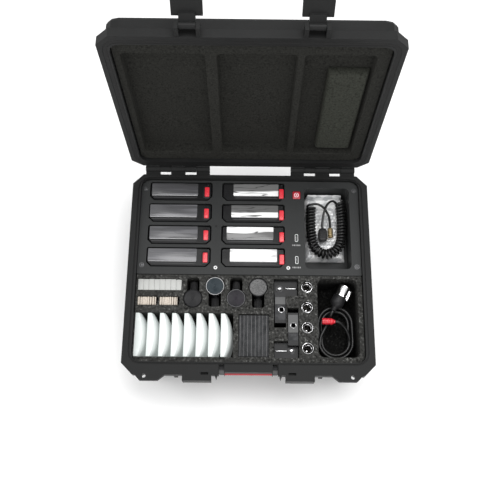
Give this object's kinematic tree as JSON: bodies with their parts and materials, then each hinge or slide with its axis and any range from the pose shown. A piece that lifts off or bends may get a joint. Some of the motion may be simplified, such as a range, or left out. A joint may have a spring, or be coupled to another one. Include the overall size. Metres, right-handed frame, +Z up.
{
  "type": "portable light panel kit in a charging case",
  "caption": "Open hard case with a charging deck of flat light panels, stacked white diffuser domes, mounts, brackets, spigots and coiled leads in cut foam.",
  "frame": {"origin": "middle of the case on its underside", "axes": "+Z up, +X to the right seen from the front, +Y towards the hinges; the lid stands open 92 degrees at rest"},
  "size_m": [0.525, 0.543, 0.6707],
  "materials": {
    "case_black": "satin moulded black",
    "foam_grey": "matte cut foam, dark grey",
    "lid_foam": "matte cut foam, charcoal",
    "olive_foam": "matte foam, olive grey",
    "deck_grey": "fine-textured charcoal",
    "panel_black": "gloss black",
    "cord_rubber": "satin black",
    "seal_rubber": "matte black",
    "fitting_black": "matte black",
    "bracket_black": "black anodised",
    "red": "satin red",
    "diffuser_white": "smooth translucent white",
    "plate_white": "satin white",
    "pad_beige": "matte beige",
    "steel": "plain steel",
    "port_metal": "plain metal",
    "power_unit": "matte grey",
    "chrome": "polished",
    "brass": "knurled",
    "bubble_film": "glossy silver bubble film"
  },
  "bodies": {
    "case": {"base_shell": "case_black", "hinge_pin_left": "steel", "hinge_pin_right": "steel", "mains_lead_socket": "red", "charging_deck": "deck_grey", "usb_board": "port_metal", "power_supply": "power_unit", "lower_foam": "foam_grey", "foam_insert": "foam_grey", "curly_lead_plug": "fitting_black", "mains_plug_body": "fitting_black", "mains_plug_shell": "chrome", "parts_bag": "bubble_film", "curly_lead_coil": "cord_rubber", "curly_lead_tail_left": "cord_rubber", "curly_lead_tail_right": "cord_rubber", "mains_lead_hank": "cord_rubber", "mains_lead_plug_run": "cord_rubber", "mains_lead_socket_run": "cord_rubber", "curly_lead_connector": "brass"},
    "lid": {"lid_shell": "case_black", "lid_seal": "seal_rubber", "lid_foam": "lid_foam", "lid_pad": "olive_foam", "latch_pin_left": "steel", "latch_pin_right": "steel"},
    "latch_left_body": {"latch_left": "case_black"},
    "latch_right_body": {"latch_right": "case_black"},
    "handle": {"carry_handle": "case_black", "handle_grip": "red"},
    "light_panel_1_body": {"light_panel_1": "panel_black"},
    "light_panel_2_body": {"light_panel_2": "panel_black"},
    "light_panel_3_body": {"light_panel_3": "panel_black"},
    "light_panel_4_body": {"light_panel_4": "panel_black"},
    "light_panel_5_body": {"light_panel_5": "panel_black"},
    "light_panel_6_body": {"light_panel_6": "panel_black"},
    "light_panel_7_body": {"light_panel_7": "panel_black"},
    "light_panel_8_body": {"light_panel_8": "panel_black"},
    "diffuser_dome_1_body": {"diffuser_dome_1": "diffuser_white"},
    "diffuser_dome_2_body": {"diffuser_dome_2": "diffuser_white"},
    "diffuser_dome_3_body": {"diffuser_dome_3": "diffuser_white"},
    "diffuser_dome_4_body": {"diffuser_dome_4": "diffuser_white"},
    "diffuser_dome_5_body": {"diffuser_dome_5": "diffuser_white"},
    "diffuser_dome_6_body": {"diffuser_dome_6": "diffuser_white"},
    "diffuser_dome_7_body": {"diffuser_dome_7": "diffuser_white"},
    "diffuser_dome_8_body": {"diffuser_dome_8": "diffuser_white"},
    "round_mount_1_body": {"round_mount_1": "fitting_black"},
    "round_mount_2_body": {"round_mount_2": "fitting_black"},
    "round_mount_3_body": {"round_mount_3": "fitting_black"},
    "round_mount_4_body": {"round_mount_4": "fitting_black"},
    "plate_stack_body": {"plate_stack": "plate_white"},
    "pad_stack_left_body": {"pad_stack_left": "pad_beige"},
    "pad_stack_right_body": {"pad_stack_right": "pad_beige"},
    "louvre_stack_body": {"louvre_stack": "fitting_black"},
    "clamp_bracket_rear_body": {"clamp_bracket_rear": "bracket_black"},
    "clamp_bracket_front_body": {"clamp_bracket_front": "bracket_black"},
    "spigot_1_body": {"spigot_1": "chrome"},
    "spigot_2_body": {"spigot_2": "chrome"},
    "spigot_3_body": {"spigot_3": "chrome"},
    "spigot_4_body": {"spigot_4": "chrome"}
  },
  "joints": [
    {"name": "lid_hinge", "type": "hinge", "parent": "case", "child": "lid", "pos_m": [0, 0.2385, 0.15], "axis": [-1, 0, 0], "range_deg": [-92, 0]},
    {"name": "latch_left_hinge", "type": "hinge", "parent": "lid", "child": "latch_left_body", "pos_m": [-0.1065, 0.26717, 0.62729], "axis": [-1, 0, 0], "range_deg": [-110, 0]},
    {"name": "latch_right_hinge", "type": "hinge", "parent": "lid", "child": "latch_right_body", "pos_m": [0.1065, 0.26717, 0.62729], "axis": [-1, 0, 0], "range_deg": [-110, 0]},
    {"name": "handle_hinge", "type": "hinge", "parent": "case", "child": "handle", "pos_m": [0, -0.2088, 0.14], "axis": [-1, 0, 0], "range_deg": [0, 110]},
    {"name": "light_panel_1_lift", "type": "slide", "parent": "case", "child": "light_panel_1_body", "axis": [0, 0, 1], "range_m": [0, 0.12]},
    {"name": "light_panel_2_lift", "type": "slide", "parent": "case", "child": "light_panel_2_body", "axis": [0, 0, 1], "range_m": [0, 0.12]},
    {"name": "light_panel_3_lift", "type": "slide", "parent": "case", "child": "light_panel_3_body", "axis": [0, 0, 1], "range_m": [0, 0.12]},
    {"name": "light_panel_4_lift", "type": "slide", "parent": "case", "child": "light_panel_4_body", "axis": [0, 0, 1], "range_m": [0, 0.12]},
    {"name": "light_panel_5_lift", "type": "slide", "parent": "case", "child": "light_panel_5_body", "axis": [0, 0, 1], "range_m": [0, 0.12]},
    {"name": "light_panel_6_lift", "type": "slide", "parent": "case", "child": "light_panel_6_body", "axis": [0, 0, 1], "range_m": [0, 0.12]},
    {"name": "light_panel_7_lift", "type": "slide", "parent": "case", "child": "light_panel_7_body", "axis": [0, 0, 1], "range_m": [0, 0.12]},
    {"name": "light_panel_8_lift", "type": "slide", "parent": "case", "child": "light_panel_8_body", "axis": [0, 0, 1], "range_m": [0, 0.12]},
    {"name": "diffuser_dome_1_lift", "type": "slide", "parent": "case", "child": "diffuser_dome_1_body", "axis": [0, 0, 1], "range_m": [0, 0.12]},
    {"name": "diffuser_dome_2_lift", "type": "slide", "parent": "case", "child": "diffuser_dome_2_body", "axis": [0, 0, 1], "range_m": [0, 0.12]},
    {"name": "diffuser_dome_3_lift", "type": "slide", "parent": "case", "child": "diffuser_dome_3_body", "axis": [0, 0, 1], "range_m": [0, 0.12]},
    {"name": "diffuser_dome_4_lift", "type": "slide", "parent": "case", "child": "diffuser_dome_4_body", "axis": [0, 0, 1], "range_m": [0, 0.12]},
    {"name": "diffuser_dome_5_lift", "type": "slide", "parent": "case", "child": "diffuser_dome_5_body", "axis": [0, 0, 1], "range_m": [0, 0.12]},
    {"name": "diffuser_dome_6_lift", "type": "slide", "parent": "case", "child": "diffuser_dome_6_body", "axis": [0, 0, 1], "range_m": [0, 0.12]},
    {"name": "diffuser_dome_7_lift", "type": "slide", "parent": "case", "child": "diffuser_dome_7_body", "axis": [0, 0, 1], "range_m": [0, 0.12]},
    {"name": "diffuser_dome_8_lift", "type": "slide", "parent": "case", "child": "diffuser_dome_8_body", "axis": [0, 0, 1], "range_m": [0, 0.12]},
    {"name": "round_mount_1_lift", "type": "slide", "parent": "case", "child": "round_mount_1_body", "axis": [0, 0, 1], "range_m": [0, 0.12]},
    {"name": "round_mount_2_lift", "type": "slide", "parent": "case", "child": "round_mount_2_body", "axis": [0, 0, 1], "range_m": [0, 0.12]},
    {"name": "round_mount_3_lift", "type": "slide", "parent": "case", "child": "round_mount_3_body", "axis": [0, 0, 1], "range_m": [0, 0.12]},
    {"name": "round_mount_4_lift", "type": "slide", "parent": "case", "child": "round_mount_4_body", "axis": [0, 0, 1], "range_m": [0, 0.12]},
    {"name": "plate_stack_lift", "type": "slide", "parent": "case", "child": "plate_stack_body", "axis": [0, 0, 1], "range_m": [0, 0.12]},
    {"name": "pad_stack_left_lift", "type": "slide", "parent": "case", "child": "pad_stack_left_body", "axis": [0, 0, 1], "range_m": [0, 0.12]},
    {"name": "pad_stack_right_lift", "type": "slide", "parent": "case", "child": "pad_stack_right_body", "axis": [0, 0, 1], "range_m": [0, 0.12]},
    {"name": "louvre_stack_lift", "type": "slide", "parent": "case", "child": "louvre_stack_body", "axis": [0, 0, 1], "range_m": [0, 0.12]},
    {"name": "clamp_bracket_rear_lift", "type": "slide", "parent": "case", "child": "clamp_bracket_rear_body", "axis": [0, 0, 1], "range_m": [0, 0.12]},
    {"name": "clamp_bracket_front_lift", "type": "slide", "parent": "case", "child": "clamp_bracket_front_body", "axis": [0, 0, 1], "range_m": [0, 0.12]},
    {"name": "spigot_1_lift", "type": "slide", "parent": "case", "child": "spigot_1_body", "axis": [0, 0, 1], "range_m": [0, 0.12]},
    {"name": "spigot_2_lift", "type": "slide", "parent": "case", "child": "spigot_2_body", "axis": [0, 0, 1], "range_m": [0, 0.12]},
    {"name": "spigot_3_lift", "type": "slide", "parent": "case", "child": "spigot_3_body", "axis": [0, 0, 1], "range_m": [0, 0.12]},
    {"name": "spigot_4_lift", "type": "slide", "parent": "case", "child": "spigot_4_body", "axis": [0, 0, 1], "range_m": [0, 0.12]}
  ]
}
